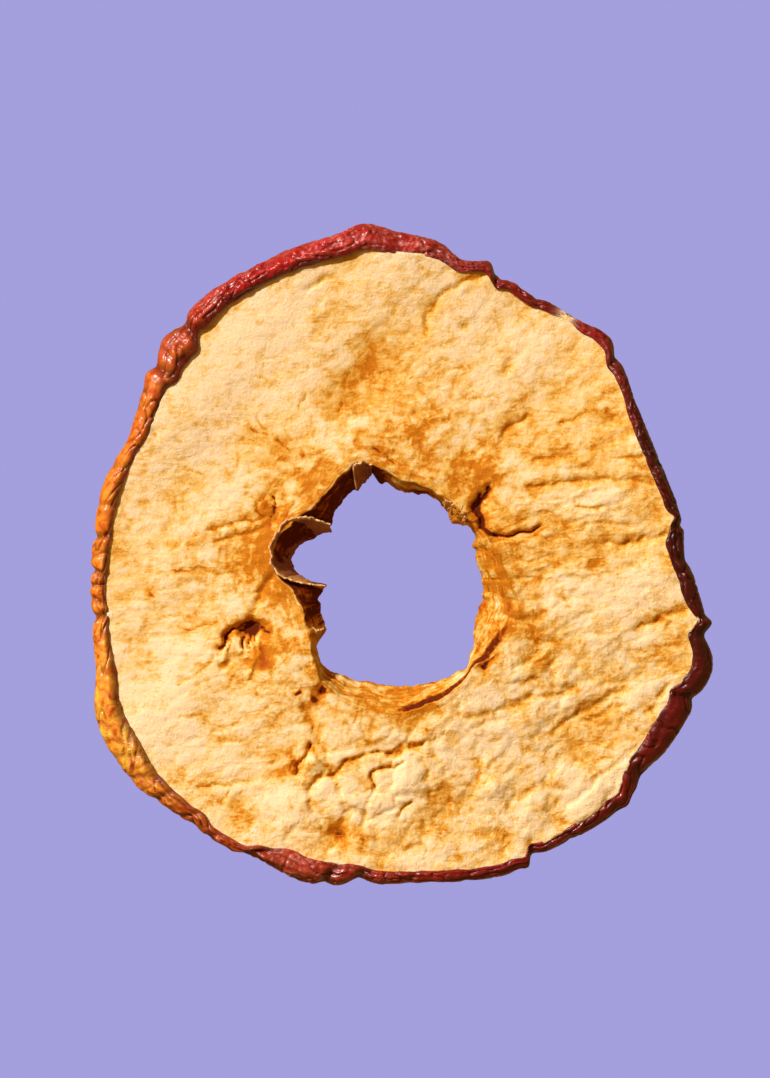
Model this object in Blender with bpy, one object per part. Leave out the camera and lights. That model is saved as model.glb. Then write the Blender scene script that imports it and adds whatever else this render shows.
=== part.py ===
"""A dried ring of apple with its peel on and its core bored out, lying as it was photographed.

The ring is one body. Every point of its skin is found from two numbers: the bearing round the
hole, in degrees from +X towards +Y, and the place along the section at that bearing. Lengths in
the tables are millimetres, and heights are above the table that the ring lies on.
"""

import bpy
import numpy as np

MM = 0.001

# The whole ring: 56 mm wide, 60 mm long, with the hole's middle a little off the middle of it.
HOLE_AT = (-0.23, -2.05)
BORE_RADIUS = 9.0
RING_STEPS = 164
RING_RADIUS = 18.0
SECTION_RADIUS = 9.0
EDGE_HEIGHT = 3.3
FLESH_AT_HOLE = 2.9
FLESH_MIDWAY = 2.55
DOME = 1.7
RELIEF_LIMIT = 0.9

# Outlines as radii from the hole's middle, one for every 15 degrees.
RIM = (26.85, 26.0, 26.1, 28.05, 28.75, 29.95, 31.3, 31.5, 30.95, 30.2, 28.1, 28.2,
       28.2, 28.7, 30.6, 29.6, 28.9, 28.8, 27.7, 28.3, 28.3, 29.0, 28.9, 29.1)
PEEL_WIDTH = (1.7, 1.2, 1.3, 1.3, 1.1, 1.1, 2.2, 2.2, 2.0, 2.7, 1.9, 1.8,
              1.6, 1.8, 2.9, 1.8, 1.1, 2.4, 1.3, 1.3, 1.2, 1.7, 2.6, 2.1)
HOLE = (7.4, 7.2, 7.9, 7.2, 7.75, 7.95, 7.9, 9.3, 9.0, 8.45, 8.3, 9.8,
        9.2, 7.7, 8.0, 10.3, 10.3, 9.85, 9.85, 9.9, 10.0, 9.4, 8.0, 7.75)
LIP = (9.6, 9.0, 9.2, 9.2, 8.5, 8.6, 9.0, 10.5, 10.7, 10.1, 10.7, 11.8,
       10.8, 9.4, 9.6, 10.8, 12.0, 12.2, 12.2, 11.6, 11.2, 11.1, 11.0, 11.1)

# Notches (negative) and swellings of the rim: bearing, half width in degrees, depth.
RIM_DENTS = ((4.5, 4, -0.5), (38, 4, -0.2), (45.7, 1.5, -0.3), (49.5, 4, 0.7), (57.5, 2.5, -0.15),
             (66, 4.5, -0.75), (71.5, 2.5, -0.5), (79, 3, -0.85), (95.5, 4, 0.75), (125, 5, 0.3),
             (131, 1.3, -0.35), (135, 3, 0.3), (138.5, 1.8, -0.35), (141, 2.2, 0.25), (154, 4, -0.2),
             (162, 5, 0.15), (172, 1.6, -0.15), (178.8, 1.3, -0.2), (187.3, 2, -0.2), (204, 5, 0.35),
             (219, 3.5, 0.25), (229.8, 1.8, -0.3), (242.3, 1.8, -0.35), (246, 4, -0.35),
             (256.4, 1.5, -0.25), (262.3, 3, -0.7), (277, 5, -0.15), (290, 4, 0.3), (294.1, 1.3, 0.45),
             (295.8, 1.4, -0.45), (309, 4, 0.1), (315, 1.2, 0.3), (321.5, 3.5, -0.6), (333, 5, 0.1),
             (337.5, 1.5, -0.35), (343.5, 3.5, 0.4), (349, 2, -0.35), (352, 1.2, 0.5))
PEEL_FOLDS = ((20, 8, 0.1), (40, 3, -0.2), (57, 2.5, -0.5), (73.5, 2, 0.3), (95, 4, 0.25),
              (129.5, 1.4, -0.6), (134.5, 3.5, 0.55), (155, 3, -0.35), (199, 4, 0.2), (209, 4, 0.1),
              (248, 4, 0.5), (256, 1.5, -0.2), (263, 3, -0.5), (322, 4, -0.2), (352, 3, -0.4))
# The hole's own edge: the pale tips are shreds of the papery core lining.
HOLE_DENTS = ((10, 3, -0.15), (24, 3, -0.5), (37.5, 2, 0.25), (48, 4, -0.35), (56, 4, -0.15),
              (78, 2, -0.15), (97, 3, 0.1), (101.5, 2.5, -0.3), (105.2, 1.6, 0.6), (109, 4, 0.15),
              (115.4, 1.6, -0.4), (141.5, 4, -0.35), (155, 3, -0.25), (172, 5, 0.3),
              (184.8, 3.2, -1.9), (189.5, 3, -0.8), (204, 4, 0.2), (215.2, 2.5, -0.6), (219, 2, 0.35),
              (229, 4, 0.15), (306.5, 3, 0.35), (314, 4, -0.2), (323, 4, -0.2), (334, 5, -0.2))
LIP_DENTS = ((40, 3, 0.45), (50, 4, -0.4), (103, 2.5, 0.2), (111, 4, 0.5), (149, 4, 0.2),
             (176, 5, 0.35), (186, 4, -0.35), (231, 5, 0.3), (320, 4, -0.15))

# How the ring has warped: it stands on three broad spots of its edge and arches between them.
FEET = (58.0, 182.0, 308.0)
FOOT_SPREAD = 30.0
ARCH = 1.5
SADDLE = 0.4
DOME_FALL = 1.6
RIM_RISE = 1.3
FOOT_FLAT = 0.45

# How far the peel stands above the flesh beside it, one height for every 30 degrees.
PEEL_PROUD = (0.10, 0.10, 0.10, 0.25, 0.5, 0.6, 0.6, 0.5, 0.35, 0.2, 0.1, 0.1)

# Folds and cracks of the upper face: width, depth and the points that each runs through.
FOLDS = (
    (0.75, 0.60, ((12.8, -14.2), (16.6, -11.9), (20.3, -9.9))),
    (0.60, 0.35, ((16.4, -12.6), (20.5, -9.9))),
    (0.60, 0.35, ((22.3, -12.2), (24.1, -9.9))),
    (0.70, 0.50, ((-8.5, -11.7), (-7.7, -13.8), (-6.6, -16.0), (-6.0, -17.8))),
    (0.60, 0.45, ((-6.0, -17.6), (-5.0, -16.7), (-3.1, -16.0), (0.0, -15.6))),
    (0.55, 0.40, ((-6.0, -17.8), (-7.5, -17.9), (-8.1, -19.2))),
    (0.60, 0.60, ((0.2, -16.7), (-2.4, -17.4), (-2.3, -19.0))),
    (0.55, 0.50, ((-9.5, -17.5), (-9.4, -16.5), (-7.9, -15.1))),
    (0.60, 0.40, ((-5.7, -18.6), (-4.6, -21.2))),
    (0.70, 0.45, ((18.8, 3.3), (21.7, 3.4), (23.9, 3.9))),
    (0.70, 0.45, ((21.5, -4.5), (24.3, -3.3), (26.0, -2.7))),
    (0.70, 0.35, ((7.7, 27.6), (3.6, 25.5), (2.3, 23.7), (2.4, 22.4))),
    (0.60, 0.30, ((-8.5, 25.8), (-6.3, 27.2))),
    (0.70, 0.40, ((-11.5, 0.2), (-13.0, -2.5), (-13.3, -3.7))),
    (0.70, 0.30, ((-16.5, 3.4), (-12.5, 4.6))),
    (0.70, 0.35, ((12.4, 10.5), (15.6, 11.2))),
    (0.70, 0.30, ((15.6, 8.7), (18.8, 8.9), (23.5, 8.3))),
    (0.70, 0.55, ((7.6, 7.8), (7.3, 6.0), (7.4, 4.9), (8.1, 3.6), (11.6, 4.1))),
    (0.80, 0.45, ((7.5, -7.9), (9.1, -5.6))),
    (0.60, 0.35, ((12.0, -23.9), (11.4, -24.9))),
)
# Pits (negative) and lumps of the upper face: x, y, radius, height.
PITS_AND_LUMPS = (
    (-12.0, 6.5, 0.9, -0.55), (-13.5, -4.9, 1.25, -0.85), (-15.6, -7.7, 0.7, -0.35),
    (-7.6, -10.6, 0.9, -0.45), (-5.5, -23.1, 1.1, -0.45), (-22.0, 12.9, 0.8, -0.25),
    (19.1, 14.4, 0.8, -0.3), (5.8, 22.9, 0.8, -0.25), (9.8, 19.3, 0.8, -0.25),
    (8.7, -18.6, 1.3, 0.45), (20.5, -11.5, 1.5, 0.4), (11.2, -13.0, 1.5, 0.35),
    (14.5, -21.5, 1.6, -0.35), (-3.5, 17.0, 3.0, -0.35), (8.5, 9.8, 1.8, 0.3),
    (-18.5, 14.5, 4.5, 0.3), (17.5, -2.0, 4.0, 0.3), (3.0, 14.0, 3.0, 0.25),
    (-19.5, -8.5, 4.0, 0.3), (-9.0, -20.5, 2.5, 0.25),
)

# Places along the section, from the outermost point over the top, down the hole and back below.
PEEL_RISE = (0, 26, 52, 76)
TOP_SHARES = (0.015, 0.07, 0.15, 0.24, 0.33, 0.42, 0.51, 0.60, 0.69, 0.78, 0.87, 0.95)
WALL_SHARES = (0.0, 0.3, 0.62, 1.0)
BELOW_SHARES = (0.0, 0.14, 0.32, 0.52, 0.72, 0.9, 1.0)
PEEL_RETURN = (-62, -36, -14)
HOLE_EDGE_HEIGHT = 0.45
LIP_DROP = 0.25
LEAST_LIP = 0.45
LEAST_PEEL = 0.45
WALL_OUT = 0.8
WALL_DOWN = 1.2
RELIEF_FADE = 12
FOOT_INSET = 1.6
PEEL_UNDER_WIDTH = 1.3

FLESH_COLOUR = (0.87, 0.52, 0.17, 1)
FLESH_ROUGHNESS = 0.62


def around(values, bearing):
    """The closed Catmull-Rom curve through values set at even steps round the ring."""
    values = np.asarray(values, float)
    count = len(values)
    place = np.mod(bearing, 360) * count / 360
    step = np.floor(place).astype(int)
    t = place - step
    before, start, end, after = (values[(step + k) % count] for k in (-1, 0, 1, 2))
    bend = 2 * before - 5 * start + 4 * end - after + t * (3 * (start - end) + after - before)
    return start + 0.5 * t * (end - before + t * bend)


def turn_between(bearing, at):
    """The angle from one bearing to another, from -180 to 180."""
    return np.mod(bearing - at + 180, 360) - 180


def dents(bearing, table):
    """The sum of a bell curve for each row: bearing, half width, height."""
    total = np.zeros_like(bearing, dtype=float)
    for at, half_width, height in table:
        total += height * np.exp(-((turn_between(bearing, at) / half_width) ** 2))
    return total


def rim_radius(bearing):
    return around(RIM, bearing) + dents(bearing, RIM_DENTS)


def peel_width(bearing):
    return np.maximum(around(PEEL_WIDTH, bearing) + dents(bearing, PEEL_FOLDS), LEAST_PEEL)


def hole_radius(bearing):
    return around(HOLE, bearing) + dents(bearing, HOLE_DENTS)


def lip_radius(bearing):
    """The hole's upper edge, always a little wider than the hole itself."""
    lip = around(LIP, bearing) + dents(bearing, LIP_DENTS)
    return np.maximum(lip, hole_radius(bearing) + LEAST_LIP)


def across(radius, bearing):
    """How far out a point lies: 0 at the hole and 1 at the rim, taking both without their dents."""
    return np.clip((radius - BORE_RADIUS) / (around(RIM, bearing) - BORE_RADIUS), 0, 1)


def warp_height(radius, bearing):
    """The bent slice: a dome over the hole, and an arch of the rim between each two feet."""
    lift = np.ones_like(bearing, dtype=float)
    for foot in FEET:
        lift = lift * (1 - np.exp(-((turn_between(bearing, foot) / FOOT_SPREAD) ** 2)))
    sway = SADDLE * np.sin(np.radians(2 * bearing - 60))
    share = across(radius, bearing)
    return DOME * (1 - share ** DOME_FALL) + (ARCH + sway) * lift * share ** RIM_RISE


def flesh_thickness(share):
    """Thin midway, where the flesh has shrunk most, and thicker at the hole and at the peel."""
    to_rim = EDGE_HEIGHT - FLESH_AT_HOLE
    sag = FLESH_AT_HOLE - FLESH_MIDWAY
    return FLESH_AT_HOLE + to_rim * share ** 3 - sag * np.sin(np.pi * share)


def fold_depth(x, y, width, depth, points):
    """A groove along the line through the points, with a bell-shaped section."""
    nearest = np.full_like(x, 1e9)
    for (x0, y0), (x1, y1) in zip(points, points[1:]):
        along = ((x - x0) * (x1 - x0) + (y - y0) * (y1 - y0)) / ((x1 - x0) ** 2 + (y1 - y0) ** 2)
        along = np.clip(along, 0, 1)
        nearest = np.minimum(nearest, np.hypot(x - x0 - along * (x1 - x0), y - y0 - along * (y1 - y0)))
    return -depth * np.exp(-((nearest / width) ** 2))


def slow_waves(x, y):
    """Low swells of the dried flesh, as a few crossing waves of different lengths."""
    waves = np.sin(0.36 * x + 0.21 * y + 0.8) + np.sin(-0.25 * x + 0.43 * y + 2.1)
    waves += 0.6 * np.sin(0.71 * x - 0.53 * y + 4.0) + 0.5 * np.sin(0.62 * x + 0.88 * y + 1.2)
    return 0.09 * waves


def flat_place(radius, bearing):
    """A point's x and y from the hole's middle."""
    return radius * np.cos(np.radians(bearing)), radius * np.sin(np.radians(bearing))


def underside_height(radius, bearing):
    """The warped slice's lower face with its own low swells, cut flat where it stands."""
    x, y = flat_place(radius, bearing)
    swells = slow_waves(5 - 1.3 * x, 1.3 * y - 3) * np.sin(np.pi * across(radius, bearing))
    return np.maximum(warp_height(radius, bearing) + swells - FOOT_FLAT, 0)


def relief(radius, bearing):
    """Folds, pits, lumps and swells of the upper face, fading out at the peel."""
    x, y = flat_place(radius, bearing)
    total = slow_waves(x, y)
    for width, depth, points in FOLDS:
        total += fold_depth(x, y, width, depth, points)
    for pit_x, pit_y, size, height in PITS_AND_LUMPS:
        total += height * np.exp(-((x - pit_x) ** 2 + (y - pit_y) ** 2) / size ** 2)
    fade = np.clip((1 - across(radius, bearing)) * RELIEF_FADE, 0, 1)
    return np.clip(total, -RELIEF_LIMIT, RELIEF_LIMIT) * fade


def upper_height(radius, bearing):
    thickness = flesh_thickness(across(radius, bearing))
    return warp_height(radius, bearing) + thickness + relief(radius, bearing)


def peel_arc(bearing, angle):
    """The peel's outer roll: a quarter ellipse above its outermost line and another below it."""
    rim = rim_radius(bearing)
    low = underside_height(rim, bearing)
    high = warp_height(rim, bearing) + EDGE_HEIGHT + around(PEEL_PROUD, bearing)
    turned = np.radians(angle)
    width = peel_width(bearing) if angle > 0 else PEEL_UNDER_WIDTH
    return rim - width * (1 - np.cos(turned)), low + (high - low) * (1 + np.sin(turned)) / 2


def section(bearing):
    """The section's points at every bearing, in order, as columns of radius and of height."""
    points = [peel_arc(bearing, angle) for angle in PEEL_RISE]
    lip = lip_radius(bearing)
    hole = hole_radius(bearing)
    flesh_edge = rim_radius(bearing) - peel_width(bearing)
    for share in TOP_SHARES:
        radius = flesh_edge + (lip - flesh_edge) * share
        points.append((radius, upper_height(radius, bearing)))
    lip_height = upper_height(lip, bearing) - LIP_DROP
    edge_height = underside_height(hole, bearing) + HOLE_EDGE_HEIGHT
    for share in WALL_SHARES:
        radius = lip + (hole - lip) * share ** WALL_OUT
        points.append((radius, lip_height + (edge_height - lip_height) * share ** WALL_DOWN))
    start = hole + HOLE_EDGE_HEIGHT
    end = rim_radius(bearing) - FOOT_INSET
    for share in BELOW_SHARES:
        radius = start + (end - start) * share
        points.append((radius, underside_height(radius, bearing)))
    points += [peel_arc(bearing, angle) for angle in PEEL_RETURN]
    radii, heights = zip(*points)
    return np.stack(radii, 1), np.stack(heights, 1)


def flesh_material():
    material = bpy.data.materials.new("dried_flesh")
    material.use_nodes = True
    shader = material.node_tree.nodes["Principled BSDF"]
    shader.inputs["Base Color"].default_value = FLESH_COLOUR
    shader.inputs["Roughness"].default_value = FLESH_ROUGHNESS
    shader.inputs["Metallic"].default_value = 0
    return material


def apple_chip(collection):
    """A torus whose every ring of points is carried to the section at its own bearing."""
    section_steps = len(PEEL_RISE + TOP_SHARES + WALL_SHARES + BELOW_SHARES + PEEL_RETURN)
    bpy.ops.mesh.primitive_torus_add(
        major_segments=RING_STEPS, minor_segments=section_steps,
        major_radius=RING_RADIUS * MM, minor_radius=SECTION_RADIUS * MM)
    chip = bpy.context.object
    chip.name = "apple_chip"
    bearing = np.arange(RING_STEPS) * 360 / RING_STEPS
    radii, heights = section(bearing)
    turned = np.radians(bearing)[:, None]
    x = HOLE_AT[0] + radii * np.cos(turned)
    y = HOLE_AT[1] + radii * np.sin(turned)
    points = np.stack((x, y, heights), 2).reshape(-1, 3) * MM
    chip.data.vertices.foreach_set("co", points.ravel())
    chip.data.update()
    chip.data.shade_smooth()
    chip.data.materials.append(flesh_material())
    for owner in list(chip.users_collection):
        owner.objects.unlink(chip)
    collection.objects.link(chip)
    return chip


def main():
    for old in list(bpy.data.objects):
        bpy.data.objects.remove(old, do_unlink=True)
    collection = bpy.data.collections.new("apple_chip")
    bpy.context.scene.collection.children.link(collection)
    apple_chip(collection)


main()
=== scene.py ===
"""The looks of a dried ring of apple: its flesh, its peel and the papery lining of its cored hole.

Lengths are millimetres in the ring's own frame until a mesh is made, and a turn is an angle
round the hole, in degrees from +X towards +Y. Each skin is a grid with a row for every turn and a
column for every step along the section.
"""

import bpy
import numpy as np
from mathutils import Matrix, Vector


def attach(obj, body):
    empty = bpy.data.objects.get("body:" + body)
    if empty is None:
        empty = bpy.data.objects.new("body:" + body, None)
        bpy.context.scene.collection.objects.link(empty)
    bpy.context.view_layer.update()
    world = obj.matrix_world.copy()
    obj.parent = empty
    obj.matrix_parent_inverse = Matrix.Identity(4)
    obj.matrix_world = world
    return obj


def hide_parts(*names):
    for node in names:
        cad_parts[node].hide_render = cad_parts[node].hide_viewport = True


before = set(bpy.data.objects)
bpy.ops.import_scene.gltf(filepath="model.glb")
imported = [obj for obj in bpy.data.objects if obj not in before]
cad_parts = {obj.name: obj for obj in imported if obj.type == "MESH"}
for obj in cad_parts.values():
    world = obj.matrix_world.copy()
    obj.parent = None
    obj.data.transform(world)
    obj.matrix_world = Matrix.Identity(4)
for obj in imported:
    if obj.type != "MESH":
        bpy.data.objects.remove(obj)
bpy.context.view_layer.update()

MM = 0.001
HOLE_AT = (-0.23, -2.05)
BORE_RADIUS = 9.0
EDGE_HEIGHT = 3.3
FLESH_AT_HOLE = 2.9
FLESH_MIDWAY = 2.55
DOME = 1.7
RELIEF_LIMIT = 0.95

# Outlines as radii from the hole's middle, one for every 15 degrees.
RIM = (
    26.85, 26, 26.1, 28.05, 28.75, 29.95, 31.3, 31.5, 30.95, 30.2, 28.1, 28.2, 28.2, 28.7, 30.6,
    29.6, 28.9, 28.8, 27.7, 28.3, 28.3, 29, 28.9, 29.1,
)
PEEL_WIDTH = (
    1.7, 1.2, 1.3, 1.3, 1.1, 1.1, 2.2, 2.2, 2, 2.7, 1.9, 1.8, 1.6, 1.8, 2.9, 1.8, 1.1, 2.4, 1.3,
    1.3, 1.2, 1.7, 2.6, 2.1,
)
HOLE = (
    7.4, 7.2, 7.9, 7.2, 7.75, 7.95, 7.9, 9.3, 9, 8.45, 8.3, 9.8, 9.2, 7.7, 8, 10.3, 10.3, 9.85,
    9.85, 9.9, 10, 9.4, 8, 7.75,
)
LIP = (
    9.6, 9, 8.4, 8.4, 8.3, 8.6, 9, 10.5, 10.7, 10.1, 10.7, 11.8, 10.8, 9.4, 9.6, 10.8, 12, 12.2,
    12.2, 11.6, 11.2, 11.1, 11, 11.1,
)

# Notches (negative) and swellings of the rim: turn, half width in degrees, depth.
RIM_DENTS = (
    (4.5, 4, -.5), (38, 4, -.2), (45.7, 1.5, -.3), (49.5, 4, .7), (57.5, 2.5, -.15),
    (66, 4.5, -.75), (71.5, 2.5, -.5), (71.6, 1, -.28), (74.2, 1.1, .28), (79, 3, -.85),
    (95.5, 4, .75), (125, 5, .3), (131, 1.3, -.35), (135, 3, .3), (138.5, 1.8, -.35),
    (141, 2.2, .25), (154, 4, -.2), (162, 5, .15), (172, 1.6, -.15), (178.8, 1.3, -.2),
    (187.3, 2, -.2), (204, 5, .35), (219, 3.5, .25), (229.8, 1.8, -.3), (242.3, 1.8, -.35),
    (246, 4, -.35), (256.4, 1.5, -.25), (262.3, 3, -.7), (277, 5, -.15), (290, 4, .3),
    (294.1, 1.3, .45), (295.8, 1.4, -.45), (309, 4, .1), (315, 1.2, .3), (321.5, 3.5, -.6),
    (333, 5, .1), (337.5, 1.5, -.35), (343.5, 3.5, .4), (349, 2, -.35), (352, 1.2, .5),
)
PEEL_FOLDS = (
    (12.6, 1.1, -.55), (7.5, 2.2, .45), (20, 8, .1), (40, 3, -.2), (57, 2.5, -.5), (73.5, 2, .3),
    (95, 4, .25), (129.5, 1.4, -.6), (134.5, 3.5, .55), (155, 3, -.35), (199, 4, .2), (209, 4, .1),
    (248, 4, .5), (256, 1.5, -.2), (263, 3, -.5), (322, 4, -.2), (352, 3, -.4),
)
HOLE_DENTS = (
    (10, 3, -.15), (24, 3, -.5), (37.5, 2, .25), (48, 4, -.35), (56, 4, -.15), (78, 2, -.15),
    (97, 3, .1), (101.5, 2.5, -.3), (105.2, 1.6, .6), (109, 4, .15), (115.4, 1.6, -.4),
    (141.5, 4, -.35), (155, 3, -.25), (172, 5, .3), (184.8, 3.2, -1.9), (189.5, 3, -.8),
    (204, 4, .2), (215.2, 2.5, -.6), (219, 2, .35), (229, 4, .15), (306.5, 3, .35), (314, 4, -.2),
    (323, 4, -.2), (334, 5, -.2),
)
LIP_DENTS = (
    (50, 4, -.15), (103, 2.5, .2), (111, 4, .5), (149, 4, .2), (176, 5, .35), (186, 4, -.35),
    (231, 5, .3), (309, 8, -.75), (320, 4, -.15),
)

# How the ring has warped: it stands on three broad spots of its edge and arches between them.
FEET = (58, 182, 308)
FOOT_SPREAD = 30.0
ARCH = 1.5
SADDLE = 0.4
FOOT_FLAT = 0.45
PEEL_UNDER_WIDTH = 1.3
HOLE_EDGE_HEIGHT = 0.45
FOOT_INSET = 1.6

# Around the ring, one value for every 30 degrees.
PEEL_PROUD = (.1, .1, .1, .24, .42, .38, .34, .34, .3, .2, .1, .1)
PEEL_WRINKLED = (.9, 1.2, 1.4, 1.1, 1, .45, .45, .9, 1.1, .9, .8, .8)
LUMP_HEIGHT = (.2, .14, .09, .09, .08, .07, .07, .08, .17, .28, .28, .26)
BROWN_REACH = (2.6, 4.2, 5.4, 6, 4.8, 3.4, 4.4, 3.6, 2, 1.3, 1.5, 2.6)
BROWN_AT_HOLE = (.75, .9, 1.2, 1.3, 1.5, 1.9, 2.2, 1.6, .75, .55, .6, .7)
RIPE_SHARE = (.85, .8, .45, .35, .25, .35, .45, .2, .3, .55, .3, .5)

# Folds and cracks of the upper face: width, depth, how dark a line is painted along it (painted
# shade in the crack, partly the flesh's own brown), and x and y of each point on its way.
FOLDS = (
    (.38, .22, .2, 12.8, -14.2, 14.6, -13.6, 16.6, -11.9, 18.5, -11.2, 20.3, -9.9),
    (.3, .2, .2, 16.4, -13.1, 18, -12.6, 19.3, -11.6, 20.5, -11.4),
    (.4, .3, .2, 22.3, -12.2, 24.1, -9.9),
    (.4, .3, .3, -8.5, -11.7, -7.7, -13.8, -6.6, -16, -6, -17.8),
    (.3, .36, .4, -6, -17.8, -5, -16.7, -3.1, -16, 0, -15.6, 2.2, -15),
    (.34, .36, .35, -6, -17.8, -7.5, -17.9, -8.1, -19.2),
    (.3, .45, .6, .2, -16.7, -1.3, -17, -2.4, -17.4, -2.5, -18.2, -2.3, -19),
    (.34, .45, .65, -9.5, -17.5, -9.4, -16.5, -8.6, -15.9, -7.9, -15.1),
    (.34, .3, .25, -5.7, -18.6, -5.3, -19.9, -4.6, -21.2),
    (.3, .3, .3, -7.9, -15.1, -7.2, -16.2, -6.3, -17.4),
    (.34, .25, .25, -8.1, -19.2, -8, -21, -7, -22.6),
    (.3, .25, .25, -2.3, -19, -3, -20.8, -3.6, -22.4),
    (.5, .4, .4, 18.8, 3.3, 20.2, 3, 21.7, 3.4, 23.9, 3.9),
    (.4, .4, .4, 21.5, -4.5, 22.8, -4, 24.3, -3.3, 26, -2.7),
    (.3, .28, .4, 7.7, 27.6, 5.6, 26.8, 3.6, 25.5, 2.3, 23.7, 2.4, 22.4),
    (.35, .25, .3, -8.5, 25.8, -7.6, 26.7, -6.3, 27.2),
    (.45, .3, .35, -11.5, .2, -12.6, -1.4, -13.2, -2.5, -13.3, -3.7),
    (.35, .25, .35, -16.5, 3.4, -14.5, 3.8, -12.5, 4.6, -11.2, 5.2),
    (.3, .22, .35, -17.5, 4.2, -15, 5, -12.3, 5.4), (.4, .25, .3, 12.4, 10.5, 14, 11, 15.6, 11.2),
    (.4, .3, .3, 11.6, 8.2, 13.4, 8.4, 15.6, 8.7, 18.8, 8.9, 21, 8.9, 23.5, 8.3),
    (.52, .6, 1, 8, 8.2, 7.3, 6.9, 7.2, 5.9, 7.6, 4.6, 8.5, 3.7), (.35, .3, .8, 7.2, 7.6, 6.9, 6.6),
    (.3, .4, .85, 8.5, 3.7, 9.9, 3.8, 11.6, 4.3, 12.4, 4.7),
    (.26, .12, .3, 9.4, 3.6, 11.2, 3.7, 12.6, 3.9), (.45, .3, .9, 7, 7.6, 6.8, 6.4, 7.2, 5.2),
    (.2, .08, .35, 8.9, 4.2, 10, 4.9, 11.5, 5.4), (.22, .1, .4, 8.5, 3.3, 10.4, 3.3, 13, 4.4),
    (.55, .5, .8, 7.5, -7.9, 8.3, -7, 9.1, -5.6), (.35, .3, .5, 12, -23.9, 11.4, -24.9),
    (.3, .3, .65, -.2, -21.3, 1, -20.3), (.3, .25, .35, -1.8, -15.9, 1.2, -15.1, 3.2, -14.4),
    (.45, .3, .25, 11.5, 14.8, 10.7, 14, 9.2, 13.1),
    (.4, .25, .25, 12.4, -20.6, 14, -21.8, 15.8, -22.4),
    (.4, .25, .3, 9.5, -11.2, 12.6, -10.6, 15.4, -10.1),
    (.4, .25, .25, 6.1, -12.6, 8.6, -12.2, 11, -11.4),
    (.22, .18, .5, -18.4, -19, -16, -18.6, -13.5, -18.3),
    (.3, .34, .7, -15.4, -5, -14.6, -4.2, -13.9, -4, -12.8, -4.1, -11.7, -5.1),
    (.3, .4, .9, -16.3, -6.4, -15.8, -5.6, -15.1, -4.6), (.2, .18, .9, -14.15, -4.9, -14.2, -6.5),
    (.2, .18, .9, -13.65, -4.9, -13.6, -6.8), (.2, .18, .8, -13.15, -4.9, -13, -6.5),
    (.26, .25, .75, -11.5, 7.5, -11.25, 6.6, -11.4, 5.8, -11.8, 5.3),
    (.24, .15, .45, -12, 7.7, -12.7, 7, -12.9, 6.2, -12.4, 5.4),
    (.3, .25, .6, -2.3, 11.7, -1.4, 11.2, -.8, 10.4), (1.7, .04, .45, -12.7, -6.4, -12.3, -7.7),
    (1.1, .03, .4, -9.9, -17.6, -9.7, -16.2), (1.2, .03, .4, -6.2, -22.6, -5, -22.9),
)
# Pale threads stretched over the pit: start x and y, end x and y.
THREADS = (
    (-14.35, -5, -14.5, -6.6), (-13.9, -5.1, -13.85, -7.1), (-13.45, -5.2, -13.35, -7.2),
    (-12.95, -5.3, -12.8, -6.9), (-15.6, -5.8, -15.9, -7.4), (-13.1, -7.2, -13.6, -9),
)
# Pits (negative) and lumps of the upper face: x, y, radius, height.
PITS_AND_LUMPS = (
    (-13.5, -4.7, .9, -1.1), (-12.9, -4.6, .55, -.6), (7.4, 6.3, .6, -.4), (7.3, 4.8, .6, -.5),
    (-14.5, -4.8, .5, -.5), (-13.4, -6.4, 1.5, -.35), (-13.9, -4.9, .5, -.8),
    (-15.7, -5.4, .45, -.5), (-15.6, -7.7, .5, -.35), (-7.2, -10.3, .55, -.5),
    (-5.5, -23.1, .9, -.45), (-22, 12.9, .5, -.22), (19.1, 14.4, .6, -.3), (5.8, 22.9, .5, -.22),
    (9.8, 19.3, .5, -.22), (8.7, -18.6, 1.25, .5), (20.5, -11.5, 1.5, .35), (11.2, -13, 1.5, .3),
    (12.3, -21, 1.2, .35), (1.2, -18.4, 2.2, .35), (-5, -20, 1, .3), (-8, -16.6, .9, .35),
    (14.5, -21.5, 1.6, -.3), (-3.5, 17, 3, -.3), (8.5, 9.8, 1.8, .3), (-18.5, 14.5, 4.5, .3),
    (17.5, -2, 4, .3), (3, 14, 3, .25), (-19.5, -8.5, 4, .3), (-9, -20.5, 2.5, .25),
)
# Dark brown specks: x, y, radius, how dark.
SPECKS = (
    (-22.5, -1.5, .3, .9), (-22.8, -3.8, .25, .5), (-20.1, 1.6, .25, .6), (-24.9, 1.5, .22, .6),
    (-23, 9.6, .25, .7), (-17.9, 9.4, .35, .6), (-22, 12.9, .45, .7), (-12.4, 23.3, .35, .6),
    (-10.8, 25.5, .28, .5), (-22.4, -16.4, .3, .6), (5.8, 22.9, .3, .45), (9.8, 19.3, .35, .45),
    (19.1, 14.4, .4, .6), (14.1, -18.4, .4, .8), (7.1, -16.5, .4, .7), (2.3, -13.7, .35, .7),
    (-5.5, -23.1, .7, .7), (-3.6, -23.4, .4, .8), (-9.8, -20.6, .28, .6), (12.4, -5.6, .4, .6),
    (12, -3.1, .45, .9), (-8.9, 11.2, .6, .8), (-15.2, 9.4, .4, .5), (-17.2, 12.5, .25, .4),
    (-9.2, -10.4, .38, 1.2), (-7.9, -10.8, .4, 1.2), (-6.9, -10, .55, 1.3), (-10.4, -10.6, .35, 1),
    (-14.9, -5.2, .3, .6), (-15.6, -7.9, .5, .5), (14, -2, .3, .3), (17.3, 1.6, .4, .4),
    (14.3, 1.4, .4, .6), (15.9, -7, .35, .4), (-4, 20, .4, .3), (-12, 6.5, .75, .55),
    (-11.4, 6.2, .4, .9), (-11.9, 4.7, .5, .6), (19.5, .5, .4, .4),
)
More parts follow.
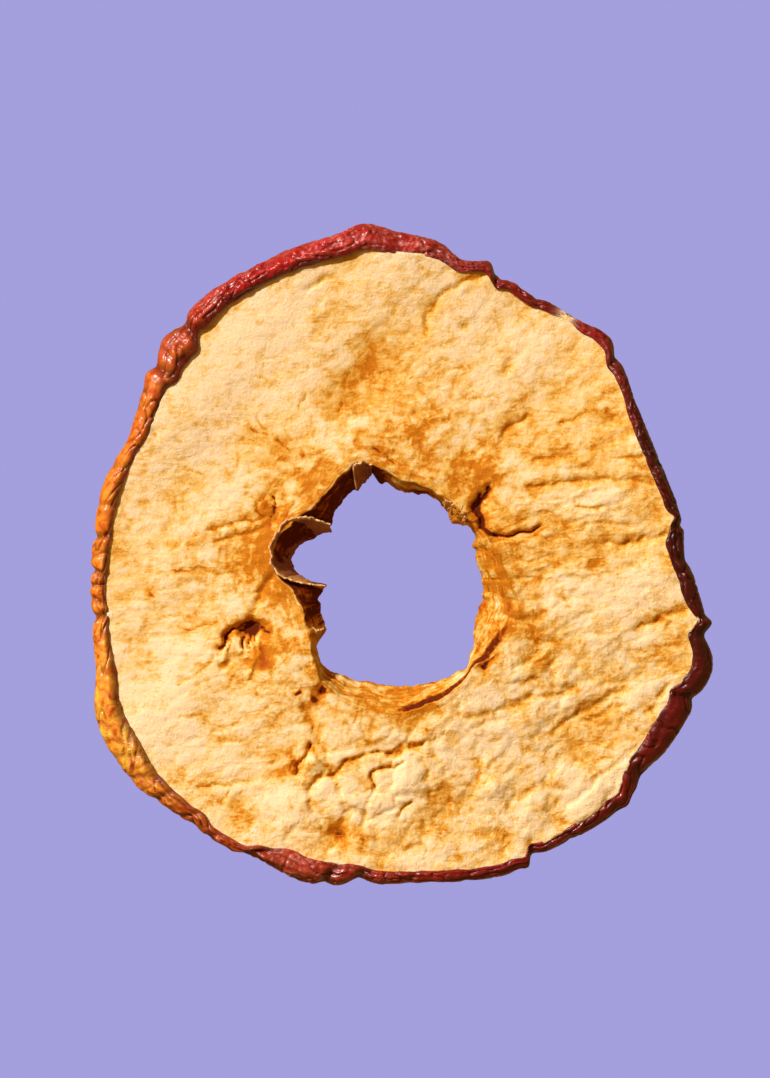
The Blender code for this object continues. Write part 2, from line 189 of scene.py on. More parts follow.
# Orange-brown stains: x, y, reach along and across, tilt in degrees, strength.
STAINS = (
    (-9.9, -3.6, 1.3, 3.4, 8, 1), (-12.3, -4.4, 1.5, .8, -25, 1.6), (-12.5, -7.3, 1.2, 1.1, 0, 2.6),
    (-7.4, 9, 4.8, 1.3, 31, 1.45), (-3.6, 12.4, 2.4, 1.2, 25, 1.1), (5.6, 8.6, 2, 1, -35, 1),
    (-12.1, 6.4, .55, 1.15, 5, 1.15), (-1.6, 11, 1, .55, -25, 1.15), (-8.8, 11.2, .9, .6, 10, .9),
    (6.7, 6.6, .8, 2.6, 8, 1.5), (9.4, 3.8, 1.8, .45, 12, 1.2), (7.4, 4.6, .7, 1.6, 0, 1.7),
    (9, 0, 1, 3.4, 0, .7), (8.2, -6.9, 1.6, .9, 45, 1), (-11.9, -5.2, .7, .5, -20, 1.15),
    (-14, -3.7, 1.6, .5, 0, .9), (-15.6, -7.7, .5, .8, 20, .85), (-9.6, -16.6, .9, 1.8, 20, .8),
    (14.6, -2, .5, .5, 0, .6), (12.8, -3, 1, .5, 0, .9), (12.6, .6, .6, 1.5, -10, .7),
    (-3, 18, 3.6, 2.2, 35, .7), (-4.5, 22.6, 1.2, 1.6, 0, .55), (1.5, 13.6, 4.2, 2.4, 10, 1.1),
    (7.2, 10.2, 2.8, 2, -40, 1.2), (9.8, 8.6, 2.6, 1.6, -20, .8), (-7, 13.5, 4.5, 1.3, 48, .7),
    (-10.5, 10.5, 3.4, 1.4, 42, .6), (-12.4, 6.6, 1.3, 1.9, 8, .65), (-12.2, -6.6, 2, 1.2, 5, .95),
    (-13.5, -4.9, 2.8, 1.3, 0, .7), (-10.4, -5, 2, 3.6, 15, .8), (-11.2, -12.6, 1, 2.6, 25, .35),
    (-10.6, -16.6, 1.4, 1.9, 10, .55), (-5.4, -22.6, 1.9, 1.3, 5, .7),
    (12, -7.6, 2.4, 1.4, -15, .6), (11.8, -12, 1.7, 1.5, 0, .4), (10.8, -2.6, 1.5, 3, 0, .45),
    (14, 2, 1, .9, 0, .45), (18, 1.6, 2, .7, 0, .4), (4, -19.8, 1.6, 3, -20, .3),
    (7.6, -15.6, 3, 2.4, 0, .3), (-22.3, 12.9, .7, 1.8, -10, .45), (-17.6, 9.2, 2.2, .7, -8, .35),
    (-14, 8.6, 3.2, .8, -5, .3), (21.8, 13.6, 2.6, .8, 30, .3), (24.2, 7, 1, 3, 20, .25),
    (14, 17, 1.6, .8, 35, .3), (-16.5, -10.5, 1, 3, -35, .3), (6, 20.5, 1.2, 3.2, -10, .3),
    (3.4, 24, .9, 2.2, -30, .35),
)
# Short brown fibres lying in the flesh: start x and y, end x and y.
FIBRES = (
    (-20.5, .6, -19.3, .6), (-21.5, -3.6, -19.9, -3.2), (-19.5, -4.7, -16.5, -4),
    (-20.4, -9.5, -18.4, -8.8), (-18.4, -8.8, -16.9, -7), (-19.9, -12.5, -18, -12.2),
    (-16.3, -20.3, -15.4, -19.2), (-13, 18.3, -11.6, 17.5), (-13, 14.3, -12.2, 13.5),
    (-13.5, 13.5, -12.2, 13), (-11.1, 12.5, -10.1, 11.5), (-19.5, 9.8, -17.9, 9.4),
    (-16.4, -6.9, -15.5, -5.3), (-15.9, -7.2, -15.2, -5.6), (-14.6, -3.9, -14.9, -3.2),
    (-15.4, -4.4, -15.9, -3.6), (-14.2, -5, -14.2, -6.2), (-13.6, -5, -13.6, -6.4),
    (-13.1, -5, -12.9, -6.2), (-15.1, -8.9, -15.6, -9.9), (-8.6, 16.6, -9.1, 15.3),
    (-5.2, 15.8, -5.8, 14.4), (19.1, 10.5, 21.8, 11.2), (15.9, 6.2, 18.2, 6.6),
    (14.5, 13.9, 16.8, 15.1), (18.2, 14.8, 19.6, 15.5), (6.4, 16.2, 8.6, 16.5),
)

# Crossing waves of the flesh: height, how fast each rises along X and Y, and its start.
WAVES = ((.09, .36, .21, .8), (.09, -.25, .43, 2.1), (.054, .71, -.53, 4), (.045, .62, .88, 1.2))
# A pit deeper than this also gets painted shade, in millimetres.
DARK_PIT = -0.4
# The tilt of the three kinds of puffs in degrees, and their size along and across it.
PUFFS = ((8, 4.6, 2), (36, 4.6, 2.5), (-12, 3.6, 3))
# The flesh's masks and their plain values: painted shade in creases, dark specks and fibres with
# painted shade in cracks, pits and on the bored wall, brown stain, base tone with painted shade on
# low ground, fibres, the way down the bored wall, painted shade on slopes away from the light, and
# how smooth the flesh has dried.
PLAIN_FLESH = {"hollow": 0, "dark": 0, "brown": 0, "ripe": 0.5, "fibrous": 0, "down": 0, "lee": 0,
               "calm": 0.5}

# Where dust and a painted sheen lie on the peel: turn, half width in degrees, how much.
DUST_AND_SHEEN_PLACES = ((252, 11, 0.75), (88, 12, 0.8), (45, 14, 0.1))
# The peel's section in degrees, from its lower edge to its inner edge, and its usual radius.
PEEL_ARC = (-112, 128)
MEAN_RIM = 28.5
SHEET_THICKNESS = 0.14
UNMOVED = (0, 0, 0)

# Where the bored wall is browner: turn, half width in degrees, how much.
BROWNER_WALL = ((8, 34, 0.4), (48, 14, 0.45), (262, 22, 0.25))

UPPER_GRID = (830, 92)
WALL_STEPS = 22
LOWER_GRID = (640, 72)
PEEL_GRID = (1560, 56)
SHEET_GRID = (70, 16)
DETAIL = 1
# Slopes of the noise repeat after this many cells.
LATTICE = 128


def held(value):
    """The value held between 0 and 1."""
    return np.clip(value, 0, 1)


def catmull_rom(before, start, end, after, t):
    """The curve from start to end as t goes from 0 to 1, led by the values before and after."""
    bend = 2 * before - 5 * start + 4 * end - after + t * (3 * (start - end) + after - before)
    return start + 0.5 * t * (end - before + t * bend)


def around(values, turn):
    """The closed Catmull-Rom curve through values set at even steps round the ring."""
    values = np.asarray(values, float)
    place = np.mod(turn, 360) * len(values) / 360
    step = np.floor(place).astype(int)
    return catmull_rom(*(values[(step + k) % len(values)] for k in (-1, 0, 1, 2)), place - step)


def smooth_line(points, steps):
    """An open Catmull-Rom curve through the points, taken at even steps."""
    points = np.array(points, float)
    padded = np.vstack((2 * points[0] - points[1], points, 2 * points[-1] - points[-2]))
    place = np.linspace(0, len(points) - 1, steps)
    step = np.minimum(place.astype(int), len(points) - 2)
    return catmull_rom(*(padded[step + k] for k in range(4)), (place - step)[:, None])


def bell(distance, width):
    """1 in the middle, falling to 1/e at the width."""
    return np.exp(-((distance / width) ** 2))


def near(turn, at, width):
    """A bell round the ring: 1 at one turn, 1/e where the turn to it is the width."""
    return bell(np.mod(turn - at + 180, 360) - 180, width)


def dents(turn, table):
    """The sum of a bell curve for each row: turn, half width, height."""
    return sum(height * near(turn, at, width) for at, width, height in table)


def s_curve(low, high, value):
    """0 below low, 1 above high, and an S-curve between them."""
    t = held((value - low) / (high - low))
    return t * t * (3 - 2 * t)


def perlin(x, y, seed):
    """Gradient noise, about -1 to 1: a random slope at each whole-number point of the plane, and
    between four such points their slopes' heights blended by a quintic."""
    angle = np.random.default_rng(seed).uniform(0, 2 * np.pi, (LATTICE, LATTICE))
    slope_x, slope_y = np.cos(angle), np.sin(angle)
    cell_x, cell_y = np.floor(x).astype(int), np.floor(y).astype(int)
    u, v = x - cell_x, y - cell_y
    fade_u, fade_v = (t * t * t * (t * (t * 6 - 15) + 10) for t in (u, v))

    def corner(right, up):
        at = ((cell_x + right) % LATTICE, (cell_y + up) % LATTICE)
        return slope_x[at] * (u - right) + slope_y[at] * (v - up)

    low = corner(0, 0) + fade_u * (corner(1, 0) - corner(0, 0))
    high = corner(0, 1) + fade_u * (corner(1, 1) - corner(0, 1))
    return 1.5 * (low + fade_v * (high - low))


def cloud(x, y, cell, seed, octaves=3):
    """Gradient noise summed over octaves, each with half the cell and half the height."""
    total = 0
    for octave in range(octaves):
        scale = 2 ** octave / cell
        total = total + perlin(x * scale, y * scale, seed + octave) / 2 ** octave
    return total


def turned_plane(x, y, tilt, along, across):
    """x and y measured along and across a direction, in cells of those two lengths."""
    turned = np.radians(tilt)
    u = (x * np.cos(turned) + y * np.sin(turned)) / along
    v = (y * np.cos(turned) - x * np.sin(turned)) / across
    return u, v


def lobes(u, v, seed):
    """Cells round scattered points, one point in each unit square. Gives how much farther the
    second nearest point is than the nearest, 0 on a border, and a number of the cell's own."""
    scatter = np.random.default_rng(seed).uniform(0.08, 0.92, (LATTICE, LATTICE, 3))
    cell_u, cell_v = np.floor(u).astype(int), np.floor(v).astype(int)
    nearest, second, own = np.full_like(u, 9.0), np.full_like(u, 9.0), np.zeros_like(u)
    for right in (-1, 0, 1):
        for up in (-1, 0, 1):
            point = scatter[(cell_u + right) % LATTICE, (cell_v + up) % LATTICE]
            away = np.hypot(cell_u + right + point[..., 0] - u, cell_v + up + point[..., 1] - v)
            second = np.minimum(second, np.maximum(away, nearest))
            own = np.where(away < nearest, point[..., 2], own)
            nearest = np.minimum(nearest, away)
    return second - nearest, own


def puffs(x, y, tilt, along, across, seed):
    """Puffy lumps with sharp creases between them: flat-topped cells in two sizes, crumpled by the
    size of gradient noise, over a plane that coarser noise has bent. Gives lumps and creases."""
    u, v = turned_plane(x, y, tilt, along, across)
    broken = s_curve(-0.35, 0.45, cloud(u, v, 1.3, seed + 9, 2))
    bend_u, bend_v = (0.35 * perlin(u * 0.9, v * 0.9, seed + k)
                      + 0.14 * perlin(u * 2.9, v * 2.9, seed + k + 2) for k in (5, 6))
    u, v = u + bend_u, v + bend_v
    lumps, creases = -0.75, 0
    for scale, share, sharp in ((1, 0.85, 0.075), (2.2, 0.3, 0.1)):
        gap, own = lobes(u * scale, v * scale, seed + int(scale))
        dome = 1 - (1 - held(gap / 0.85)) ** 2.2
        lumps = lumps + share * dome * (0.35 + 1.2 * own)
        creases = np.maximum(creases, (0.45 + 0.7 * share) * bell(gap, sharp) * broken)
    ridges = np.abs(perlin(u * 1.5, v * 1.5, seed + 3))
    lumps = lumps + 0.45 * ridges ** 0.7
    return lumps, held(np.maximum(creases, 0.6 * bell(ridges, 0.05) * broken))


def rim_radius(turn):
    return around(RIM, turn) + dents(turn, RIM_DENTS)


def peel_width(turn):
    return np.maximum(around(PEEL_WIDTH, turn) + dents(turn, PEEL_FOLDS), 0.45)


def hole_radius(turn):
    """The hole's edge with a fine raggedness on its named dents."""
    ragged = 0.16 * cloud(turn * 0.16, 0 * turn, 1, 31)
    return around(HOLE, turn) + dents(turn, HOLE_DENTS) + ragged


def lip_radius(turn):
    """The hole's upper edge, always a little wider than the hole itself."""
    ragged = 0.14 * cloud(turn * 0.13, 0 * turn, 1, 41)
    lip = around(LIP, turn) + dents(turn, LIP_DENTS) + ragged
    return np.maximum(lip, hole_radius(turn) + 0.35)


def across_share(radius, turn):
    """How far out a point lies: 0 at the hole and 1 at the rim, taking both without their dents."""
    return held((radius - BORE_RADIUS) / (around(RIM, turn) - BORE_RADIUS))


def warp(radius, turn):
    """The bent slice: a dome over the hole, and an arch of the rim between each two feet."""
    lift = np.prod([1 - near(turn, foot, FOOT_SPREAD) for foot in FEET], 0)
    sway = SADDLE * np.sin(np.radians(2 * turn - 60))
    share = across_share(radius, turn)
    return DOME * (1 - share ** 1.6) + (ARCH + sway) * lift * share ** 1.3


def flesh_thickness(share):
    """Thin midway, where the flesh has shrunk most, and thicker at the hole and at the peel."""
    to_rim = EDGE_HEIGHT - FLESH_AT_HOLE
    sag = FLESH_AT_HOLE - FLESH_MIDWAY
    return FLESH_AT_HOLE + to_rim * share ** 3 - sag * np.sin(np.pi * share)


def from_line(x, y, points):
    """How far each place is from the line through the points, each given as its x, then its y."""
    nearest = 1e9
    for x0, y0, x1, y1 in zip(points[::2], points[1::2], points[2::2], points[3::2]):
        run_x, run_y = x1 - x0, y1 - y0
        along = held(((x - x0) * run_x + (y - y0) * run_y) / (run_x ** 2 + run_y ** 2))
        nearest = np.minimum(nearest, np.hypot(x - x0 - along * run_x, y - y0 - along * run_y))
    return nearest


def slow_waves(x, y):
    """Low swells of the dried flesh, as a few crossing waves of different lengths."""
    return sum(tall * np.sin(u * x + v * y + start) for tall, u, v, start in WAVES)


def flat_place(radius, turn):
    """A point's x and y from the hole's middle."""
    return radius * np.cos(np.radians(turn)), radius * np.sin(np.radians(turn))


def underside(radius, turn):
    """The warped slice's lower face with its own low swells, cut flat where it stands."""
    x, y = flat_place(radius, turn)
    swells = slow_waves(5 - 1.3 * x, 1.3 * y - 3) * np.sin(np.pi * across_share(radius, turn))
    return np.maximum(warp(radius, turn) + swells - FOOT_FLAT, 0)


def crumple(x, y, turn, seed):
    """Lumps and creases of dried flesh: level wrinkles at the left and right, slanting ones at the
    top and at the lower right, and round puffs at the bottom. Gives height and creases."""
    slanting = near(turn, 322, 34) + near(turn, 85, 40)
    rounded = near(turn, 268, 34)
    parts = (held(1 - slanting - rounded), slanting, rounded)
    kinds = [puffs(x, y, *lie, seed + 10 * k) for k, lie in enumerate(PUFFS)]
    height, creases = (sum(part * kind[k] for part, kind in zip(parts, kinds)) / sum(parts)
                       for k in (0, 1))
    tall = around(LUMP_HEIGHT, turn)
    return height * tall, creases * held(0.35 + tall / 0.2)


def grain(x, y, turn, seed):
    """Fine grit of the flesh, coarser on the right half."""
    coarse = 0.5 + 0.5 * near(turn, 0, 80)
    return 0.035 * coarse * cloud(x, y, 0.75, seed)


def calmness(turn):
    """1 in the upper left, where the flesh has dried smooth, and 0 in the rough lower right."""
    return held(0.6 + 0.6 * np.cos(np.radians(turn - 120)))


def lee_slope(x, y, height):
    """How steeply a gridded face falls towards the lower right, 0 where it falls the other way. The
    slope along X and Y follows from the steps of x, y and height along the grid's two ways."""
    (x_on, x_in), (y_on, y_in), (up_on, up_in) = (np.gradient(values) for values in (x, y, height))
    area = x_on * y_in - x_in * y_on
    area = np.where(area == 0, 1, area)
    rise_x = (up_on * y_in - up_in * y_on) / area
    rise_y = (up_in * x_on - up_on * x_in) / area
    return held(0.71 * (rise_y - rise_x))


def fading(distance, reach):
    """1 up to an edge, and beyond it falling to 1/e at the reach."""
    return np.exp(-np.maximum(distance, 0) / reach)


def ring_streaks(radius, turn, seed):
    """Noise drawn out round the hole."""
    return cloud(np.radians(turn) * BORE_RADIUS / 1.6, radius / 0.42, 1, seed, 2)


def flesh_masks(shape, **given):
    """The flesh's masks by name: those given, and each other one at its plain value."""
    values = PLAIN_FLESH | given
    return {key: np.broadcast_to(value, shape) for key, value in values.items()}


def upper_relief(radius, turn):
    """Height and colour masks of the upper face. Folds, pits and fibres are bells about lines and
    points, on a plane that fine noise has bent so that none runs quite straight."""
    x, y = flat_place(radius, turn)
    bent_x = x + 0.26 * cloud(x, y, 1.4, 51, 4)
    bent_y = y + 0.26 * cloud(x, y, 1.4, 61, 4)
    height, hollow = crumple(x, y, turn, 100)
    height = height + slow_waves(x, y) + grain(x, y, turn, 131)
    dark = brown = np.zeros_like(x)
    # Painted shade in each fold and crack: a deeper tone beside it and a darker line along it,
    # partly the flesh's own brown.
    for width, depth, darkness, *points in FOLDS:
        away = from_line(bent_x, bent_y, points)
        height -= depth * np.exp(-away / (0.65 * width))
        hollow = np.maximum(hollow, np.exp(-away / (1.1 * width)) * min(1, darkness + 0.45))
        dark = np.maximum(dark, 0.95 * darkness * bell(away, width * 0.46))
    for at_x, at_y, size, rise in PITS_AND_LUMPS:
        away = np.hypot(bent_x - at_x, bent_y - at_y)
        height += rise * bell(away, size)
        # Deep pits get painted shade: a deeper tone and a dark middle.
        if rise < DARK_PIT:
            hollow = np.maximum(hollow, bell(away, size * 1.2))
            dark = np.maximum(dark, -1.3 * rise * bell(away, size * 0.75))
    for at_x, at_y, size, darkness in SPECKS:
        away = np.hypot(bent_x - at_x, bent_y - at_y)
        dark = np.maximum(dark, 0.72 * darkness * bell(away, size * 0.8))
        brown = np.maximum(brown, 0.8 * darkness * bell(away, size * 2.2))
    for ends in FIBRES:
        away = from_line(bent_x, bent_y, ends)
        height -= 0.08 * bell(away, 0.13)
        hollow = np.maximum(hollow, bell(away, 0.16))
        dark = np.maximum(dark, 0.45 * bell(away, 0.1))
    for ends in THREADS:
        clear = bell(from_line(bent_x, y, ends), 0.14)
        height += 0.22 * clear
        dark = dark * (1 - 0.9 * clear)
        hollow = hollow * (1 - clear)
    for at_x, at_y, along, across, tilt, strength in STAINS:
        u, v = turned_plane(bent_x - at_x, bent_y - at_y, tilt, along, across)
        brown = np.maximum(brown, strength * bell(np.hypot(u, v), 1))
    reach = around(BROWN_REACH, turn)
    lip = lip_radius(turn)
    streaks = ring_streaks(radius, turn, 171)
    near_hole = fading(radius - lip, reach)
    brown = np.maximum(brown, near_hole * around(BROWN_AT_HOLE, turn) * (0.75 + 0.45 * streaks))
    height += 0.05 * streaks * near_hole
    fade = held((around(RIM, turn) - radius) / 1.6)
    height = np.clip(height, -RELIEF_LIMIT, RELIEF_LIMIT) * fade
    # Lower ground takes a deeper tone: painted shade.
    ripe = around(RIPE_SHARE, turn) + 0.5 * cloud(x, y, 4.5, 181) - 2.6 * height
    # Painted shade on slopes of the mesh that face away from the light, to the lower right.
    lee = lee_slope(x, y, height) if min(x.shape) > 1 else 0
    return height, flesh_masks(x.shape, hollow=hollow, dark=dark, brown=brown, ripe=held(ripe),
                               fibrous=0.8 * fading(radius - lip, 0.35 * reach), lee=lee,
                               down=lip - radius, calm=calmness(turn))


def upper_height(radius, turn):
    relief, masks = upper_relief(radius, turn)
    thickness = flesh_thickness(across_share(radius, turn))
    return warp(radius, turn) + thickness + relief, masks


def math_operator(operation):
    """An operator that adds a Math node."""
    return lambda wire, other: wire.math(operation, wire, other)


class Wire:
    """A node's output. Each sum, difference, product or quotient with it adds a Math node."""

    def __init__(self, graph, socket):
        self.graph = graph
        self.socket = socket

    def math(self, operation, first, second=0.0, clamp=False):
        settings = {"operation": operation, "use_clamp": clamp}
        return self.graph.node("Math", settings, {0: first, 1: second})

    __add__ = __radd__ = math_operator("ADD")
    __sub__ = math_operator("SUBTRACT")
    __mul__ = math_operator("MULTIPLY")
    __truediv__ = math_operator("DIVIDE")

    def __rsub__(self, other):
        return self.math("SUBTRACT", other, self)

    def clamped(self):
        return self.math("ADD", self, clamp=True)

    def crossing(self, sharpness):
        """A thin line wherever noise passes its middle value."""
        return (1 - self.math("ABSOLUTE", self - 0.5) * sharpness).clamped()

    def ramp(self, low, high):
        """0 where the value is low, 1 where it is high, and an S-curve between."""
        sockets = {"Value": self, "From Min": low, "From Max": high}
        return self.graph.node("MapRange", {"interpolation_type": "SMOOTHSTEP"}, sockets)


class Finish:
    """A material with one Principled shader, built node by node."""

    def __init__(self, name, roughness, **constants):
        self.material = bpy.data.materials.new(name)
        self.material.use_nodes = True
        self.tree = self.material.node_tree
        self.shader = self.tree.nodes["Principled BSDF"]
        self.shader.inputs["Roughness"].default_value = roughness
        for socket, value in constants.items():
            self.shader.inputs[socket.replace("_", " ")].default_value = value

    def node(self, kind, settings=None, sockets=None, output=0):
        """Any node: its settings are set first, then its sockets are given values or links."""
        made = self.tree.nodes.new("ShaderNode" + kind)
        for name, value in (settings or {}).items():
            setattr(made, name, value)
        for name, value in (sockets or {}).items():
            if isinstance(value, Wire):
                self.tree.links.new(value.socket, made.inputs[name])
            else:
                made.inputs[name].default_value = value
        return Wire(self, made.outputs[output])

    def feed(self, socket, wire):
        self.tree.links.new(wire.socket, self.shader.inputs[socket])

    def mask(self, name):
        """A number that the mesh holds at each point."""
        return self.node("Attribute", {"attribute_name": name}, output=2)

    def place(self, stretch=(1, 1, 1), turn=0, shift=UNMOVED):
        """The point's own place, turned about +Z and stretched, then shifted by millimetres."""
        where = self.node("TexCoord", output=3)
        turned = {"Vector": where, "Rotation": (0, 0, np.radians(turn)), "Scale": stretch,
                  "Location": tuple(MM * step for step in shift)}
        return self.node("Mapping", None, turned)

    def noise(self, cell, detail=3, roughness=0.55, where=None, distortion=0.0):
        """Noise from 0 to 1 whose blots are about one cell wide, in millimetres."""
        sockets = {"Vector": where or self.place(), "Scale": 0.7 / (cell * MM), "Detail": detail,
                   "Roughness": roughness, "Distortion": distortion}
        return self.node("TexNoise", None, sockets)

    def strands(self, across, cell, length):
        """Noise drawn out round the ring: fine across, by the mask of that name, and long along."""
        x, y = (self.node("SeparateXYZ", None, {0: self.place()}, output=k) for k in (0, 1))
        sockets = {0: self.mask(across) / cell, 1: x / (length * MM), 2: y / (length * MM)}
        drawn = self.node("CombineXYZ", None, sockets)
        return self.noise(1 / MM, 4, 0.6, drawn)

    def mix(self, amount, low, high):
        """The colour that lies that far from the first colour to the second."""
        return self.node("Mix", {"data_type": "RGBA"}, {0: amount, 6: low, 7: high}, output=2)

    def bump(self, height, distance, under=None):
        """A bump of that many millimetres, on top of another if one is given."""
        sockets = {"Height": height, "Distance": distance * MM}
        if under:
            sockets["Normal"] = under
        return self.node("Bump", None, sockets)


# Only dark specks and fibres, and painted shade in cracks, pits, creases and on the bored wall,
# take the pigment past this tone.
BEFORE_MARKS_AND_SHADE = 3.3
# Dried flesh from its palest to its darkest, the darkest for dark specks and painted shade, in even
# steps of pigment.
FLESH_TONES = (
    (.93, .74, .47, 1), (.86, .62, .25, 1), (.78, .44, .075, 1), (.67, .26, .014, 1),
    (.46, .105, .004, 1), (.13, .019, .003, 1),
)
# A short step towards the light, in millimetres, for painting shade on the side of each lump away
# from it.
LIGHTWARDS = (-0.11, 0.11, 0)


def flesh_finish():
    """Dried flesh: cream on its lumps and orange-brown round the hole, with fine veins, a speckle
    of grit, dark specks, and fibres along the bored wall. Painted shade makes it orange-brown in
    its creases and on low ground, dark in its cracks and pits, and browner on the sides of lumps
    away from the light. They add up to one pigment, which picks the tone."""
    look = Finish("dried_flesh", 0.66, Specular_IOR_Level=0.04, Subsurface_Weight=0.6,
                  Subsurface_Scale=0.0003, Subsurface_Radius=(1, 0.7, 0.3))
    mottle, mottle_ahead = (look.noise(0.9, 3, 0.6, look.place(shift=step), 0.3)
                            for step in (UNMOVED, LIGHTWARDS))
    level, level_ahead = (look.noise(0.8, 5, 0.62, look.place((0.45, 1, 1), 8, step), 0.9)
                          for step in (UNMOVED, LIGHTWARDS))
    speckle = look.noise(0.24, 3, 0.75)
    blots = look.noise(2.6, 4, 0.6, distortion=0.6)
    fibres = look.strands("down", 0.12, 1.8)
    fine = look.noise(0.42, 4, 0.6, look.place((0.5, 1, 1), 24), 1.6)
    veins = level.crossing(13) * blots.ramp(0.4, 0.6)
    lines = fine.crossing(15) * mottle.ramp(0.42, 0.62)
    fibrous, calm, brown = (look.mask(name) for name in ("fibrous", "calm", "brown"))
    # Painted shade: noise compared with its copy one step towards the light darkens each lump's
    # side that faces away from the light.
    lee = (mottle - mottle_ahead) * 4.2 + (level_ahead - level) * 3.4
    uneven = (mottle - 0.5) * 2.2 + (speckle - 0.5) * 0.8
    pigment = look.mask("ripe") * 1.35 - 0.45 + look.mask("lee") * 2
    pigment = pigment + (lee + uneven) * (1 - fibrous * 0.6 - calm * 0.4)
    pigment = pigment + (blots - 0.5) * (3.2 - calm)
    # Creases, grooves and pits take a deeper orange-brown: painted shade.
    pigment = pigment + look.mask("hollow") * (0.3 + mottle) * 1.6 + veins + lines * 0.6
    stained = brown * (0.25 + mottle.ramp(0.3, 0.66) * 0.9) + (brown - 0.85).clamped() * 0.8
    stained = stained.clamped()
    pigment = pigment + stained * 2.7 + fibrous * (fibres - 0.5) * 4.2
    pigment = pigment.math("MINIMUM", pigment, BEFORE_MARKS_AND_SHADE)
    # Dark specks and fibres, and painted shade in cracks, pits, creases, under edges and on the
    # bored wall.
    pigment = pigment + look.mask("dark").ramp(0.15, 0.95) * 3.4
    colour = FLESH_TONES[0]
    for step, tone in enumerate(FLESH_TONES[1:]):
        colour = look.mix((pigment - step).clamped(), colour, tone)
    look.feed("Base Color", colour)
    look.feed("Roughness", 0.72 - stained * 0.22)
    lumpy = look.bump((1 - mottle) * (1 - calm * 0.5), 0.1)
    wrinkled = look.bump(level - lines * 0.15, 0.08, lumpy)
    grit = look.bump(look.noise(0.34, 4, 0.7) * (1 - calm * 0.4), 0.08, wrinkled)
    stringy = look.bump(fibres * fibrous, 0.2, grit)
    grains = look.node("TexVoronoi", None, {"Vector": look.place(), "Scale": 1 / (0.22 * MM)})
    look.feed("Normal", look.bump(grains, 0.03, stringy))
    return look.material


MAROON = (0.055, 0.0012, 0.0025, 1)
CRIMSON = (0.46, 0.013, 0.012, 1)
AMBER = (0.93, 0.20, 0.006, 1)
CHESTNUT = (0.30, 0.035, 0.004, 1)
GOLDEN = (0.95, 0.55, 0.055, 1)
DUST_AND_SHEEN_TINT = (0.85, 0.42, 0.36, 1)
BLEACHED = (0.95, 0.78, 0.52, 1)


def peel_finish():
    """Leathery peel: maroon to crimson, turning amber and golden along the left, shiny, with a pale
    dusty bloom in places. The maroon, deepest on the right away from the light, is partly painted
    shade; painted shade also darkens its creases and the roll's inner slope at the left, and the
    bloom is partly a painted sheen."""
    look = Finish("peel", 0.34, Specular_IOR_Level=0.4, Coat_Weight=0.25, Coat_Roughness=0.18)
    blots = look.noise(1.5, 4, 0.62, distortion=0.5)
    patches = look.noise(1.1, 4, 0.65, distortion=1.2)
    fleck = look.noise(0.28, 3, 0.75)
    amber = look.mask("amber")
    # Pale dust flecks, partly a painted sheen.
    dust_and_sheen_flecks = look.mask("bloom") * fleck.ramp(0.42, 0.74) * blots.ramp(0.3, 0.62)
    colour = CRIMSON
    for amount, tone in (
            # Maroon, partly the skin's own and partly painted shade on the right, away from the
            # light.
            ((look.mask("dusk") * (0.5 + blots) + (0.5 - blots) * 1.6).clamped(), MAROON),
            ((amber * (0.45 + blots * 1.1)).clamped(), AMBER),
            (amber * patches.ramp(0.5, 0.68) * 0.6, CHESTNUT),
            ((look.mask("golden") * ((1 - patches) * 4.4 - 1.6)).clamped(), GOLDEN),
            # Painted shade on the roll's inner slope at the left.
            ((look.mask("inner") * (0.4 + blots)).clamped() * 0.8, MAROON),
            # Painted shade in the creases.
            (look.mask("crease") * 0.75, MAROON),
            (dust_and_sheen_flecks.clamped() * 0.75, DUST_AND_SHEEN_TINT),
            (look.mask("bleached"), BLEACHED)):
        colour = look.mix(amount, colour, tone)
    look.feed("Base Color", colour)
    look.feed("Roughness", 0.25 + fleck * 0.16 + amber * 0.08)
    wrinkled = look.bump(look.noise(0.75, 5, 0.6, distortion=0.9) * (1 - amber * 0.55), 0.15)
    look.feed("Normal", look.bump(look.noise(0.16, 2), 0.03, wrinkled))
    return look.material


PAPER = (0.84, 0.42, 0.11, 1)
PAPER_TAN = (0.46, 0.18, 0.03, 1)
TORN_EDGE = (0.90, 0.62, 0.30, 1)
PAPER_DARK = (0.24, 0.040, 0.032, 1)


def lining_finish():
    """The papery lining of the core: tan with a pale torn edge, mauve-brown where it is shaded."""
    look = Finish("core_lining", 0.42)
    streaks = look.noise(0.5, 4, 0.6, look.place((1, 1, 0.25)))
    shade = (look.mask("shade") * (0.7 + streaks * 0.6)).clamped()
    colour = look.mix(streaks.ramp(0.35, 0.7) * 0.5, PAPER, PAPER_TAN)
    colour = look.mix(shade, colour, PAPER_DARK)
    colour = look.mix(look.mask("torn"), colour, TORN_EDGE)
    look.feed("Base Color", colour)
    look.feed("Normal", look.bump(look.noise(0.3, 3), 0.05))
    return look.material


def closed_skin(name, turn, material, rows):
    """A closed skin of rows with radii, heights and masks, side by side as one grid's columns.
    Its quads face outwards and run on from the last turn and column to the first."""
    radii, heights = (np.concatenate([row[k] for row in rows], 1) for k in (0, 1))
    masks = {key: np.concatenate([row[2][key] for row in rows], 1) for key in rows[0][2]}
    points = np.stack((*flat_place(radii, turn), heights), -1).reshape(-1, 3)
    here = np.arange(radii.size).reshape(radii.shape)
    on = np.roll(here, -1, 0)
    faces = np.stack((here, on, np.roll(on, -1, 1), np.roll(here, -1, 1)), 2).reshape(-1, 4)
    return finished_piece(name, points, faces, material, masks)


def linked(name, data):
    """A new object in the scene."""
    made = bpy.data.objects.new(name, data)
    bpy.context.scene.collection.objects.link(made)
    return made


